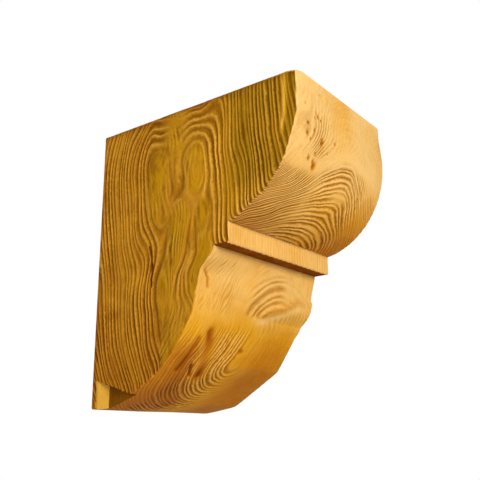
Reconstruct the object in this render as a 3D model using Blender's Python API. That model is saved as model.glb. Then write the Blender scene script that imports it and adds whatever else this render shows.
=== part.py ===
"""A corbel cast in one piece in rigid polyurethane foam, to look like rough timber.

The wall is the plane Y = 0 and the front looks along -Y. The origin is at the centre of the
flat back. Seen from the side there is a square nose over a large round lobe, a square fillet
with a recess under it, and a second quarter-round lobe that runs down to the wall. The right
half of the lower lobe is hewn in flat facets under a slanting ledge, a notch is broken out
above the left foot, and the timber grain of the mould stands up in ridges.
"""

import math

import bmesh
import bpy

# Overall size in metres
WIDTH = 0.176
HEIGHT = 0.300
PROJECTION = 0.260

# Side profile: "out" is measured from the wall, "up" from the foot of the corbel
NOSE_HEIGHT = 0.0425
UPPER_RADIUS = 0.092
FILLET_OUT = 0.180
FILLET_HEIGHT = 0.020
RECESS_DEPTH = 0.0175
SHOULDER_OUT = 0.158
SHOULDER_UP = 0.114
HEEL_OUT = 0.1535
HEEL_UP = 0.101
LOWER_RADIUS = 0.150
FOOT_LAND = 0.004
EDGE_ROUND = 0.0024

# Unevenness of the casting, all of it cut inwards from the profile
NOSE_SKEW = 0.007
EDGE_WEAR = 0.005
WEAR_REACH = 0.026
UPPER_WEAR_DEGREES = (8.0, -20.0)
LOWER_WEAR_DEGREES = (-3.0, -35.0)
FOOT_DEGREES = (-72.0, -86.0)
LOBE_FADE_DEGREES = -66.0

# The left half of the shoulder is cut back, fading out to the right
SHOULDER_CUT = 0.0132
SHOULDER_LAND = 0.006
SHOULDER_CUT_X = 0.030
SHOULDER_CUT_UP = 0.082

# The right half of the lower lobe is hewn flat between these angles below the level
FACET_DEGREES = (-23.3, -45.3, -73.0, -90.0)
HEWN_FROM_X = -0.030
HEWN_FULL_X = 0.050

# The slanting ledge on the lower lobe, as (x, up) points: above it the front is cut back
LEDGE = ((-0.012, 0.083), (0.016, 0.098), (0.050, 0.111), (0.088, 0.117))
LEDGE_DEPTH = 0.0018
LEDGE_RISE = 0.0014

# Notch broken out of the left side above the foot, deeper away from the wall
NOTCH_OUT = 0.005
NOTCH_UP = 0.029
NOTCH_SLOPE = -0.30
NOTCH_RAMP = 0.010
NOTCH_DEPTH = 0.0062
NOTCH_LENGTH = 0.062
CUTTER_MARGIN = 0.010

# Cells of the lattice that carries the relief
SIDE_COLUMN = 0.0032
SIDE_ROW = 0.0160
FRONT_COLUMNS = 30
FRONT_STEP = 0.0064
SNAP = 0.0007
EXACT = 0.00002

# Grain on the sides: upright ridges that bow around two calm islands
SIDE_RIDGE = 0.0013
COLUMNS_PER_RIDGE = 3
RIDGE_START = 0.004
ISLANDS = ((0.118, 0.226, 0.052, 0.013), (0.101, 0.118, 0.042, 0.009))
ISLAND_REACH = 0.030
ISLAND_CALM = 0.016
HOLLOWS = (0.021, 0.013)
BOW_CLEAR = 0.006
BOW_FADE = 0.030

# Grain on the front: arches on the upper lobe, and rings around a knot on the lower
FRONT_RIDGE = 0.0013
ARCH_PITCH = 0.0145
ARCH_X = 0.008
ARCH_BELOW = 0.055
ARCH_SPREAD = 0.62
PLAIN_NOSE = (0.045, 0.085)
KNOT_PITCH = 0.011
KNOT_X = 0.005
KNOT_DEGREES = -38.0
KNOT_LEAN_DEGREES = 37.0
KNOT_STRETCH = 0.62
RIDGE_FADE = 0.012

COLOUR = (0.47, 0.235, 0.035, 1.0)
ROUGHNESS = 0.55

HALF = WIDTH / 2
TOP_Z = HEIGHT / 2
LOBE = (PROJECTION - UPPER_RADIUS, HEIGHT - NOSE_HEIGHT)
LOWER = (FOOT_LAND, LOWER_RADIUS)
LOBE_END = -math.acos((FILLET_OUT - LOBE[0]) / UPPER_RADIUS)
FILLET_UP = LOBE[1] + UPPER_RADIUS * math.sin(LOBE_END)
RECESS_UP = FILLET_UP - FILLET_HEIGHT
RECESS_OUT = FILLET_OUT - RECESS_DEPTH
FACETS = [math.radians(degrees) for degrees in FACET_DEGREES]
LOWER_START = (
    LOWER[0] + LOWER_RADIUS * math.cos(FACETS[0]),
    LOWER[1] + LOWER_RADIUS * math.sin(FACETS[0]),
)


def smooth(value, low, high):
    """0 at low and 1 at high, with an easy slope between them."""
    share = min(1.0, max(0.0, (value - low) / (high - low)))
    return share * share * (3 - 2 * share)


def below(turn, degrees):
    """0 above the first of two angles and 1 below the second."""
    return smooth(-math.degrees(turn), -degrees[0], -degrees[1])


def polar(centre, out, up):
    """Angle above the level, and distance, of a point from the axis of a lobe."""
    return math.atan2(up - centre[1], out - centre[0]), math.hypot(up - centre[1], out - centre[0])


def arc(centre, radius, start, end):
    """Points along an arc of the profile, the first one left out."""
    steps = max(2, round(radius * abs(end - start) / FRONT_STEP))
    turns = [start + (end - start) * i / steps for i in range(1, steps + 1)]
    return [(centre[0] + radius * math.cos(t), centre[1] + radius * math.sin(t)) for t in turns]


def profile():
    """The outline seen from the side, as (out, up) points from the top of the wall face."""
    points = [(0.0, HEIGHT), (PROJECTION, HEIGHT), (PROJECTION, LOBE[1])]
    points += arc(LOBE, UPPER_RADIUS, 0.0, LOBE_END)
    points += [(FILLET_OUT, RECESS_UP), (RECESS_OUT, RECESS_UP)]
    points += [(SHOULDER_OUT, SHOULDER_UP), (HEEL_OUT, HEEL_UP), LOWER_START]
    for upper, lower in zip(FACETS, FACETS[1:]):
        points += arc(LOWER, LOWER_RADIUS, upper, lower)
    points.append((0.0, 0.0))
    return points


def outline_out(outline, up):
    """How far out the plain profile reaches at a height."""
    reaches = [0.0]
    for (out0, up0), (out1, up1) in zip(outline, outline[1:]):
        if up1 <= up <= up0 and up0 - up1 > EXACT:
            reaches.append(out0 + (out1 - out0) * (up0 - up) / (up0 - up1))
    return max(reaches)


def left_wear(x):
    """How far the left front edge has been rubbed back, 1 on the edge."""
    return EDGE_WEAR * smooth(-x, HALF - WEAR_REACH, HALF)


def lobe_inset(x, turn):
    """Depth cut from the nose and the upper lobe at an angle above the level."""
    skew = NOSE_SKEW * (0.5 + x / WIDTH) * math.cos(turn) ** 2
    wear = left_wear(x) * below(turn, UPPER_WEAR_DEGREES)
    return (skew + wear) * (1 - below(turn, (LOBE_FADE_DEGREES, math.degrees(LOBE_END))))


def ledge_up(x):
    """Height of the slanting ledge on the lower lobe."""
    for (x0, up0), (x1, up1) in zip(LEDGE, LEDGE[1:]):
        if x < x1:
            return up0 + (up1 - up0) * (x - x0) / (x1 - x0)
    return LEDGE[-1][1]


def facet_depth(turn):
    """Depth of the hewn flats below the round at an angle above the level."""
    for upper, lower in zip(FACETS, FACETS[1:]):
        if lower <= turn <= upper:
            half = (upper - lower) / 2
            return LOWER_RADIUS * (1 - math.cos(half) / math.cos(turn - upper + half))
    return 0.0


def lower_inset(x, up, turn):
    """Depth cut from the shoulder and the lower lobe."""
    lift = smooth(up, SHOULDER_CUT_UP, SHOULDER_UP - SHOULDER_LAND)
    fall = 1 - smooth(up, SHOULDER_UP + SHOULDER_LAND, RECESS_UP)
    cut = SHOULDER_CUT * lift * fall * smooth(-x, -SHOULDER_CUT_X, HALF)
    above = smooth(up, ledge_up(x), ledge_up(x) + LEDGE_RISE) * fall
    lip = LEDGE_DEPTH * above * smooth(x, LEDGE[0][0], LEDGE[1][0])
    hewn = facet_depth(turn) * smooth(x, HEWN_FROM_X, HEWN_FULL_X)
    wear = 0.6 * left_wear(x) * below(turn, LOWER_WEAR_DEGREES) * (1 - below(turn, FOOT_DEGREES))
    return cut + lip + hewn + wear


def inset(x, out, up):
    """Axis of the nearest lobe and the depth cut from it at a point on or inside the profile."""
    if up >= LOBE[1]:
        turn = math.radians(UPPER_WEAR_DEGREES[0]) * (up - LOBE[1]) / NOSE_HEIGHT
        return (0.0, up), lobe_inset(x, turn) * (out / PROJECTION) ** 3
    if up > FILLET_UP + EXACT and out > LOBE[0]:
        turn, reach = polar(LOBE, out, up)
        return LOBE, lobe_inset(x, turn) * (reach / UPPER_RADIUS) ** 3
    if up < RECESS_UP - EXACT:
        turn, reach = polar(LOWER, out, up)
        return LOWER, lower_inset(x, up, turn) * min(1.0, reach / LOWER_RADIUS) ** 3
    return (0.0, up), 0.0


def side_grain(out, up):
    """Where the bow around the islands carries a point of a side, and how deep it lies."""
    bowed = out
    calm = 0.0
    for centre, middle, length, bow in ISLANDS:
        near = math.exp(-(((up - middle) / length) ** 2))
        away = (out - centre) / ISLAND_REACH
        bowed += bow * near * away * math.exp(0.5 - away * away / 2)
        calm = max(calm, near * math.exp(-(((out - centre) / ISLAND_CALM) ** 2)))
    ridge = 0.5 - 0.5 * math.cos(2 * math.pi * out / (COLUMNS_PER_RIDGE * SIDE_COLUMN))
    hollow = 0.5 + 0.5 * math.sin(up / HOLLOWS[0] + out / HOLLOWS[1])
    return bowed, SIDE_RIDGE * smooth(out, 0.0, RIDGE_START) * ((1 - calm) * ridge + calm * hollow)


def front_grain(x, out, up):
    """Depth of the grain on the front: arches on the upper lobe, rings on the lower."""
    if up > FILLET_UP + EXACT:
        turn = polar(LOBE, out, min(up, LOBE[1]))[0]
        run = UPPER_RADIUS * (turn - LOBE_END) + ARCH_BELOW + max(0.0, up - LOBE[1])
        rings = math.hypot((x - ARCH_X) / ARCH_SPREAD, run) / ARCH_PITCH
        shown = smooth(HEIGHT - up, *PLAIN_NOSE) * smooth(up, FILLET_UP, FILLET_UP + RIDGE_FADE)
    elif up < RECESS_UP - EXACT:
        run = LOWER_RADIUS * (polar(LOWER, out, up)[0] - math.radians(KNOT_DEGREES))
        lean = math.radians(KNOT_LEAN_DEGREES)
        along = (x - KNOT_X) * math.cos(lean) - run * math.sin(lean)
        across = (x - KNOT_X) * math.sin(lean) + run * math.cos(lean)
        rings = math.hypot(across, KNOT_STRETCH * along) / KNOT_PITCH
        shown = smooth(RECESS_UP - up, RIDGE_FADE, 2 * RIDGE_FADE) * smooth(up, 0.0, RIDGE_FADE)
    else:
        return 0.0
    return FRONT_RIDGE * shown * (0.5 + 0.5 * math.cos(2 * math.pi * rings))


def filled_outline(name, points, half):
    """A closed bmesh made by filling a flat outline and extruding it to both sides."""
    curve = bpy.data.curves.new(name, "CURVE")
    curve.dimensions = "2D"
    curve.fill_mode = "BOTH"
    curve.extrude = half
    spline = curve.splines.new("POLY")
    spline.points.add(len(points) - 1)
    spline.use_cyclic_u = True
    for point, (first, second) in zip(spline.points, points):
        point.co = (first, second, 0.0, 1.0)
    holder = bpy.data.objects.new(name, curve)
    bpy.context.scene.collection.objects.link(holder)
    graph = bpy.context.evaluated_depsgraph_get()
    mesh = bpy.data.meshes.new_from_object(holder.evaluated_get(graph))
    bpy.data.objects.remove(holder)
    bpy.data.curves.remove(curve)
    solid = bmesh.new()
    solid.from_mesh(mesh)
    bpy.data.meshes.remove(mesh)
    bmesh.ops.remove_doubles(solid, verts=solid.verts, dist=EXACT)
    return solid


def is_side(face):
    """True for the two flat sides."""
    return abs(face.normal.x) > 0.99


def is_front(face):
    """True for the shaped front, from the nose down to the foot."""
    return abs(face.normal.x) < 0.5 and face.normal.y < 0.9 and face.normal.z < 0.9


def profile_solid():
    """The plain extruded profile with its outline edges rounded, but not those at the wall."""
    solid = filled_outline("corbel_outline", profile(), HALF)
    for vert in solid.verts:
        out, up, across = vert.co
        vert.co = (across, -out, up - TOP_Z)
    bmesh.ops.recalc_face_normals(solid, faces=solid.faces)
    inside = [edge for edge in solid.edges if all(is_side(face) for face in edge.link_faces)]
    bmesh.ops.dissolve_edges(solid, edges=inside, use_verts=False)
    outline = [
        edge
        for edge in solid.edges
        if edge.is_convex
        and edge.calc_face_angle() > math.radians(40)
        and max(vert.co.y for vert in edge.verts) < -EXACT
    ]
    bmesh.ops.bevel(
        solid, geom=outline, offset=EDGE_ROUND, segments=2, profile=0.5, affect="EDGES"
    )
    return solid


def bisect(solid, faces, place, normal, snap):
    """Cut some faces along a plane, and let the cut take up corners that lie nearly on it."""
    around = {part for face in faces for part in (*face.edges, *face.verts)}
    bmesh.ops.bisect_plane(
        solid, geom=faces + list(around), dist=snap, plane_co=place, plane_no=normal
    )


def cut_rows(solid):
    """Divide the straight stretches of the front and their rounded edges into rows."""
    levels = (HEIGHT, LOBE[1], RECESS_UP, SHOULDER_UP, HEEL_UP, LOWER_START[1])
    for high, low in zip(levels, levels[1:]):
        steps = max(1, round((high - low) / FRONT_STEP))
        if high == LOBE[1]:
            continue
        for i in range(1, steps):
            faces = [face for face in solid.faces if not is_side(face) and face.normal.y < 0.9]
            bisect(solid, faces, (0, 0, high + (low - high) * i / steps - TOP_Z), (0, 0, 1), EXACT)


def cut_lattice(solid):
    """Divide the sides into tall cells and the front into columns, to carry the relief."""
    cut_rows(solid)
    for i in range(1, int(PROJECTION / SIDE_COLUMN)):
        sides = [face for face in solid.faces if is_side(face)]
        bisect(solid, sides, (0, -i * SIDE_COLUMN, 0), (0, 1, 0), SNAP)
    for i in range(1, int(HEIGHT / SIDE_ROW)):
        sides = [face for face in solid.faces if is_side(face)]
        bisect(solid, sides, (0, 0, i * SIDE_ROW - TOP_Z), (0, 0, 1), SNAP)
    for i in range(1, FRONT_COLUMNS):
        front = [face for face in solid.faces if is_front(face)]
        bisect(solid, front, (WIDTH * i / FRONT_COLUMNS - HALF, 0, 0), (1, 0, 0), EXACT)
    for (x0, up0), (x1, up1) in zip(LEDGE, LEDGE[1:]):
        for rise in (0.0, LEDGE_RISE):
            middles = {face: face.calc_center_median() for face in solid.faces if is_front(face)}
            near = [
                face
                for face, middle in middles.items()
                if x0 < middle.x < x1
                and up0 - FRONT_STEP < middle.z + TOP_Z < up1 + FRONT_STEP
            ]
            place = (x0, 0, up0 + rise - TOP_Z)
            bisect(solid, near, place, (up0 - up1, 0, x1 - x0), LEDGE_RISE / 4)


def carve(solid):
    """Give the plain solid its uneven form and the ridges of its grain."""
    solid.normal_update()
    front = {vert for face in solid.faces if is_front(face) for vert in face.verts}
    outline = profile()
    for vert in solid.verts:
        x, out, up = vert.co.x, -vert.co.y, vert.co.z + TOP_Z
        if out < EXACT and abs(x) < HALF - EXACT:
            continue
        side = smooth(abs(x), HALF - EDGE_ROUND, HALF)
        bowed, sunk = side_grain(out, up)
        ridge = 0.0
        if vert in front:
            ridge = front_grain(x, out, up) * (1 - side)
        elif out > EXACT:
            inside = outline_out(outline, up) - out
            out += (bowed - out) * smooth(inside, BOW_CLEAR, BOW_CLEAR + BOW_FADE)
        centre, depth = inset(x, out, up)
        turn = polar(centre, out, up)[0]
        if up < HEIGHT - EXACT:
            up = max(0.0, up - (depth + ridge) * math.sin(turn))
        if out > EXACT:
            out -= (depth + ridge) * math.cos(turn)
        vert.co = (x - math.copysign(sunk * side, x), -out, up - TOP_Z)


def notch_cutter():
    """A wedge that takes the notch out of the left side."""
    outside = -HALF - CUTTER_MARGIN
    floor = -HALF + NOTCH_DEPTH
    plan = (
        (outside, -NOTCH_OUT),
        (-HALF, -NOTCH_OUT),
        (floor, -NOTCH_OUT - NOTCH_RAMP),
        (floor, -NOTCH_LENGTH),
        (outside, -NOTCH_LENGTH),
    )
    wedge = filled_outline("notch_plan", plan, HALF)
    for vert in wedge.verts:
        if vert.co.z > 0:
            vert.co.z = NOTCH_UP - TOP_Z - NOTCH_SLOPE * (vert.co.y + NOTCH_OUT)
        else:
            vert.co.z = -TOP_Z - CUTTER_MARGIN
    bmesh.ops.recalc_face_normals(wedge, faces=wedge.faces)
    mesh = bpy.data.meshes.new("notch_cutter")
    wedge.to_mesh(mesh)
    wedge.free()
    cutter = bpy.data.objects.new("notch_cutter", mesh)
    cutter.hide_render = True
    cutter.display_type = "WIRE"
    return cutter


def stained_foam():
    """The honey-brown stain on the foam."""
    material = bpy.data.materials.new("stained_polyurethane")
    material.use_nodes = True
    shader = material.node_tree.nodes["Principled BSDF"]
    shader.inputs["Base Color"].default_value = COLOUR
    shader.inputs["Roughness"].default_value = ROUGHNESS
    shader.inputs["Metallic"].default_value = 0.0
    return material


def corbel_body():
    """The whole casting: the profile solid, carved and grained, as one object."""
    solid = profile_solid()
    cut_lattice(solid)
    carve(solid)
    mesh = bpy.data.meshes.new("corbel_body")
    solid.to_mesh(mesh)
    solid.free()
    mesh.materials.append(stained_foam())
    mesh.shade_smooth()
    mesh.set_sharp_from_angle(angle=math.radians(35))
    return bpy.data.objects.new("corbel_body", mesh)


def build():
    """Clear the scene and make the corbel and the cutter of its notch."""
    for obj in list(bpy.data.objects):
        bpy.data.objects.remove(obj)
    parts = bpy.data.collections.new("timber_look_corbel")
    cutters = bpy.data.collections.new("cutters")
    bpy.context.scene.collection.children.link(parts)
    bpy.context.scene.collection.children.link(cutters)
    body = corbel_body()
    parts.objects.link(body)
    cutter = notch_cutter()
    cutters.objects.link(cutter)
    notch = body.modifiers.new("notch", "BOOLEAN")
    notch.operation = "DIFFERENCE"
    notch.object = cutter


build()
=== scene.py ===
"""A timber-look foam corbel with its moulded grain and its stain, in a plain pale studio.

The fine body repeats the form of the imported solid, with the same sizes, and adds the grain that
a mould takes from weathered timber. The wall is the plane Y = 0, the front looks along -Y, and
the origin is at the centre of the flat back.
"""

import math

import bmesh
import bpy
import numpy as np
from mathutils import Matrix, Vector
from mathutils.geometry import delaunay_2d_cdt


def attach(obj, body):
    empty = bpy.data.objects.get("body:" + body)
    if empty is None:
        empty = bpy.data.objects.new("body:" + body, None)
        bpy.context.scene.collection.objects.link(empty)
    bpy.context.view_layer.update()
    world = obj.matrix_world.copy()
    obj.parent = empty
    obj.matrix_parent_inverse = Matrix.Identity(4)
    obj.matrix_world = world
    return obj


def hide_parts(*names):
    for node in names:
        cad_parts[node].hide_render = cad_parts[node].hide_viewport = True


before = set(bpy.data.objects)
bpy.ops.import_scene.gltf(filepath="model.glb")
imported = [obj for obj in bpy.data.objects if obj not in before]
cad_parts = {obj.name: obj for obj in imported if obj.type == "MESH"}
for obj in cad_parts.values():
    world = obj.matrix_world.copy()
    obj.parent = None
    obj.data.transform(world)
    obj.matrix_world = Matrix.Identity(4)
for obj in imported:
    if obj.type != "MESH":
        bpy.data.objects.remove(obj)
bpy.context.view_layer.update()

bl_info = {
    "name": "Timber-look corbel",
    "version": (1, 0, 0),
    "blender": (4, 5, 0),
    "location": "View3D > Sidebar > Corbel",
    "description": "Builds a foam corbel with moulded timber grain and a small studio",
    "category": "Object",
}

# Sizes of the form in metres: "out" is measured from the wall, "up" from the foot
WIDTH = 0.176
HEIGHT = 0.300
PROJECTION = 0.260
NOSE_HEIGHT = 0.0425
UPPER_RADIUS = 0.092
FILLET_OUT = 0.180
FILLET_HEIGHT = 0.020
RECESS_DEPTH = 0.0175
SHOULDER_OUT = 0.158
SHOULDER_UP = 0.114
HEEL_OUT = 0.1535
HEEL_UP = 0.101
LOWER_RADIUS = 0.150
FOOT_LAND = 0.004
CORNER_ROUND = 0.0024
SHOULDER_ROUND = 0.0065
SIDE_ROUND = 0.0018

# Unevenness of the casting, all of it cut inwards from the profile
NOSE_SKEW = 0.007
EDGE_WEAR = 0.005
WEAR_REACH = 0.026
NOSE_WEAR = (0.0008, 0.0040)
NOSE_WEAR_REACH = 0.013
NOSE_DROP = 0.0018
NOSE_DROP_REACH = 0.012
UPPER_WEAR_DEGREES = (8.0, -20.0)
LOWER_WEAR_DEGREES = (-3.0, -35.0)
LOWER_WEAR_SHARE = 0.6
FOOT_DEGREES = (-86.0, -72.0)
LOBE_FADE_DEGREES = -66.0
SHOULDER_CUT = 0.0132
SHOULDER_LAND = 0.006
SHOULDER_CUT_X = 0.030
SHOULDER_CUT_UP = 0.082
HEEL_FADE_X = 0.010
FACET_DEGREES = (-23.3, -45.3, -73.0, -90.0)
FACET_WEAR = 0.0016
FACET_EASE_TURN = 0.1
HEWN_FROM_X = -0.030
HEWN_FULL_X = 0.050
LEDGE = ((-0.012, 0.083), (0.016, 0.098), (0.050, 0.111), (0.088, 0.117))
LEDGE_DEPTH = 0.0024
LEDGE_RISE = 0.0014

# Notch broken out of the left side above the foot
NOTCH_OUT = 0.005
NOTCH_UP = 0.029
NOTCH_SLOPE = -0.30
NOTCH_RAMP = 0.014
NOTCH_DEPTH = 0.0062
NOTCH_LENGTH = 0.062
# Stain values that paint light on the notch's ramp and shade on its overhung floor and its roof
NOTCH_PAINTED_LIGHT_AND_SHADE = (0.10, 0.9, 1.0)
NOTCH_JAGS = 0.0009
NOTCH_STATIONS = 30
CUTTER_MARGIN = 0.010

# Cells of the fine mesh
TOP_STEP = 0.0011
FRONT_STEP = 0.0014
FRONT_COLUMNS = 128
EDGE_COLUMNS = 4
CORNER_STEPS = 4
LEFT_CELL = (0.00100, 0.0017)
RIGHT_CELL = (0.0015, 0.0028)
BACK_STEP = 0.006
CELL_SQUEEZE = 0.6
CLEAR = 0.7
TINY = 0.00002

# How far from the wall and from the side edges the relief fades in
WALL_FADE = 0.004
EDGE_FADE = 0.002

# Where between two grooves the thin painted highlight runs
HIGHLIGHT_PHASE = 0.58

# How much paler the floor looks to the camera
FLOOR_GLOW = 0.45

# Depth of the pits, of the split beside the knot and of the crack in the side
PIT_DEPTH = 0.0026
SPLIT_DEPTH = 0.0024
CRACK_DEPTH = 0.0024

HALF = WIDTH / 2
TOP_Z = HEIGHT / 2
MM = 0.001
LOBE = (PROJECTION - UPPER_RADIUS, HEIGHT - NOSE_HEIGHT)
LOWER = (FOOT_LAND, LOWER_RADIUS)
LOBE_END = -math.acos((FILLET_OUT - LOBE[0]) / UPPER_RADIUS)
FILLET_UP = LOBE[1] + UPPER_RADIUS * math.sin(LOBE_END)
RECESS_UP = FILLET_UP - FILLET_HEIGHT
RECESS_OUT = FILLET_OUT - RECESS_DEPTH
FACETS = [math.radians(degrees) for degrees in FACET_DEGREES]
LOWER_START = (
    LOWER[0] + LOWER_RADIUS * math.cos(FACETS[0]),
    LOWER[1] + LOWER_RADIUS * math.sin(FACETS[0]),
)

SIDE, FRONT, BACK = range(3)
TOP, SEAT, UPPER, FILLET, SOFFIT, LOBE_FOOT, LEFT_SIDE, RIGHT_SIDE, WALL_FACE = range(9)


def smooth(value, start, end):
    """0 at the start and 1 at the end, whichever is larger, with an easy slope between them."""
    share = np.clip((value - start) / (end - start), 0.0, 1.0)
    return share * share * (3 - 2 * share)


def below(turn, degrees):
    """0 at the first of two angles and 1 at the second."""
    return smooth(np.degrees(turn), *degrees)


def bell(value, middle, reach):
    """1 at the middle, falling away on both sides."""
    return np.exp(-(((value - middle) / reach) ** 2))


def read(table, value):
    """The second number of a table of pairs, at a value of the first."""
    return np.interp(value, [pair[0] for pair in table], [pair[1] for pair in table])


def place_on(line, height):
    """How far across a rising line of points lies at a height."""
    return np.interp(height, [point[1] for point in line], [point[0] for point in line])


def arc(centre, radius, start, end):
    """Points along an arc of the profile, the first one left out."""
    steps = max(2, round(radius * abs(end - start) / FRONT_STEP))
    turns = [start + (end - start) * i / steps for i in range(1, steps + 1)]
    return [(centre[0] + radius * math.cos(t), centre[1] + radius * math.sin(t)) for t in turns]


def rounded(before, corner, after, reach=CORNER_ROUND):
    """A corner of the profile softened into a short curve."""
    here = np.array(corner)
    start = here + reach * (np.array(before) - here) / math.dist(before, corner)
    end = here + reach * (np.array(after) - here) / math.dist(after, corner)
    shares = np.linspace(0, 1, CORNER_STEPS + 1)[:, None]
    curve = (1 - shares) ** 2 * start + 2 * shares * (1 - shares) * here + shares**2 * end
    return [tuple(point) for point in curve]


def loop_points():
    """The cross-section from the wall, over the top and down the front to the foot, with the part
    of the front that each stretch belongs to."""
    nose = (PROJECTION, HEIGHT)
    nose_edge = rounded((0, HEIGHT), nose, (PROJECTION, LOBE[1]))
    stretches = [(TOP, [(0.0, HEIGHT), nose_edge[0]])]
    upper = nose_edge[1:] + [(PROJECTION, LOBE[1])] + arc(LOBE, UPPER_RADIUS, 0.0, LOBE_END)
    stretches.append((UPPER, upper))
    edge = (FILLET_OUT, RECESS_UP)
    inner = (RECESS_OUT, RECESS_UP)
    stretches.append((FILLET, rounded(upper[-1], edge, inner)))
    stretches.append((SOFFIT, [inner]))
    shoulder = (SHOULDER_OUT, SHOULDER_UP)
    heel = (HEEL_OUT, HEEL_UP)
    lower = rounded(inner, shoulder, heel, SHOULDER_ROUND)
    lower += rounded(shoulder, heel, LOWER_START, SHOULDER_ROUND) + [LOWER_START]
    lower += arc(LOWER, LOWER_RADIUS, FACETS[0], FACETS[-1]) + [(0.0, 0.0)]
    stretches.append((LOBE_FOOT, lower))
    points = [(0.0, HEIGHT)]
    parts = []
    for part, corners in stretches:
        for corner in corners:
            last = points[-1]
            length = math.dist(last, corner)
            if length < TINY:
                continue
            steps = max(1, round(length / (TOP_STEP if part == TOP else FRONT_STEP)))
            for i in range(1, steps + 1):
                points.append(tuple(np.array(last) + (np.array(corner) - last) * i / steps))
                parts.append(part)
    return np.array(points), np.array(parts)


def inward(loop):
    """Directions that carry the loop into the foam by an even depth, with mitred corners."""
    along = np.diff(loop, axis=0)
    along /= np.linalg.norm(along, axis=1)[:, None]
    across = np.stack([along[:, 1], -along[:, 0]], 1)
    before = np.vstack([across[:1], across])
    after = np.vstack([across, across[-1:]])
    total = before + after
    mitred = 2 * total / (total**2).sum(1)[:, None]
    mitred[0] = (0, -1)
    mitred[-1] = (0, 1)
    return mitred


def left_wear(x):
    """How far the left front edge has been rubbed back."""
    return EDGE_WEAR * smooth(x, WEAR_REACH - HALF, -HALF)


def lobe_inset(x, turn):
    """Depth cut from the nose and the upper lobe."""
    skew = NOSE_SKEW * (0.5 + x / WIDTH) * np.cos(turn) ** 2
    wear = left_wear(x) * below(turn, UPPER_WEAR_DEGREES)
    return (skew + wear) * below(turn, (math.degrees(LOBE_END), LOBE_FADE_DEGREES))


def facet_depth(turn):
    """Depth of the hewn flats below the round, with worn edges between them."""
    depth = np.zeros_like(turn)
    for upper, lower in zip(FACETS, FACETS[1:]):
        half = (upper - lower) / 2
        flat = LOWER_RADIUS * (1 - math.cos(half) / np.cos(turn - upper + half))
        depth = np.where((turn >= lower) & (turn <= upper), flat, depth)
    worn = 0.5 * (depth + np.hypot(depth, FACET_WEAR))
    return worn * smooth(turn, FACETS[0], FACETS[0] - FACET_EASE_TURN)


def heel_depth(x, up):
    """Depth cut from the heel and the shoulder, which fade into the round towards the left."""
    share = smooth(x, SHOULDER_CUT_X, -HALF)
    plain = SHOULDER_CUT * share * smooth(up, SHOULDER_CUT_UP, SHOULDER_UP - SHOULDER_LAND)
    edge = place_on((LOWER_START, (HEEL_OUT, HEEL_UP), (SHOULDER_OUT, SHOULDER_UP)), up)
    drop = np.minimum(np.minimum(up, SHOULDER_UP) - LOWER[1], 0.0)
    round_out = LOWER[0] + np.sqrt(LOWER_RADIUS**2 - drop**2)
    edge = np.where(up < LOWER_START[1], round_out, edge)
    shoulder_round = LOWER[0] + math.sqrt(LOWER_RADIUS**2 - (SHOULDER_UP - LOWER[1]) ** 2)
    stands = SHOULDER_OUT - SHOULDER_CUT * share - shoulder_round
    eased = edge - round_out - stands * smooth(up, SHOULDER_CUT_UP, SHOULDER_UP)
    return plain + (eased - plain) * smooth(x, SHOULDER_CUT_X, -HEEL_FADE_X)


def lower_inset(x, up, turn):
    """Depth cut from the shoulder and the lower lobe."""
    fall = smooth(up, RECESS_UP, SHOULDER_UP + SHOULDER_LAND)
    cut = heel_depth(x, up) * fall
    ledge = read(LEDGE, x)
    lip = LEDGE_DEPTH * smooth(up, ledge, ledge + LEDGE_RISE) * fall
    lip = lip * smooth(x, LEDGE[0][0], LEDGE[1][0])
    hewn = facet_depth(turn) * smooth(x, HEWN_FROM_X, HEWN_FULL_X)
    wear = LOWER_WEAR_SHARE * left_wear(x)
    wear = wear * below(turn, LOWER_WEAR_DEGREES) * below(turn, FOOT_DEGREES)
    return cut + lip + hewn + wear


def corner_wear(x, up):
    """Depth rubbed off the two upper corners of the nose."""
    worn = NOSE_WEAR[0] * smooth(-x, HALF - NOSE_WEAR_REACH, HALF) ** 2
    worn = worn + NOSE_WEAR[1] * smooth(x, HALF - NOSE_WEAR_REACH, HALF) ** 2
    return worn * smooth(up, LOBE[1], HEIGHT)


def settle(x, out, up):
    """Where the uneven form of the casting puts points of the plain extruded profile."""
    nose = up >= LOBE[1]
    lobe = (up > FILLET_UP + TINY) & (out > LOBE[0]) & ~nose
    foot = up < RECESS_UP - TINY
    # Each depth fades out towards the middle of its lobe
    nose_turn = math.radians(UPPER_WEAR_DEGREES[0]) * (up - LOBE[1]) / NOSE_HEIGHT
    nose_depth = lobe_inset(x, nose_turn) + corner_wear(x, up)
    nose_depth = nose_depth * np.clip((out - LOBE[0]) / UPPER_RADIUS, 0.0, 1.0) ** 3
    lobe_turn = np.arctan2(up - LOBE[1], out - LOBE[0])
    lobe_reach = np.hypot(up - LOBE[1], out - LOBE[0]) / UPPER_RADIUS
    lobe_depth = lobe_inset(x, lobe_turn) * lobe_reach**3
    foot_turn = np.arctan2(up - LOWER[1], out - LOWER[0])
    foot_reach = np.minimum(1.0, np.hypot(up - LOWER[1], out - LOWER[0]) / LOWER_RADIUS)
    foot_depth = lower_inset(x, up, foot_turn) * foot_reach**3
    depth = np.select([nose, lobe, foot], [nose_depth, lobe_depth, foot_depth], 0.0)
    turn = np.select([lobe, foot], [lobe_turn, foot_turn], 0.0)
    lowered = np.maximum(0.0, up - depth * np.sin(turn))
    drop = NOSE_DROP * smooth(x, NOSE_DROP_REACH - HALF, -HALF) * smooth(up, LOBE[1], HEIGHT)
    drop = drop * smooth(out, PROJECTION - NOSE_DROP_REACH, PROJECTION)
    return (
        np.where(out > TINY, out - depth * np.cos(turn), out),
        np.where(up < HEIGHT - TINY, lowered, up) - drop,
    )


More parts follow.
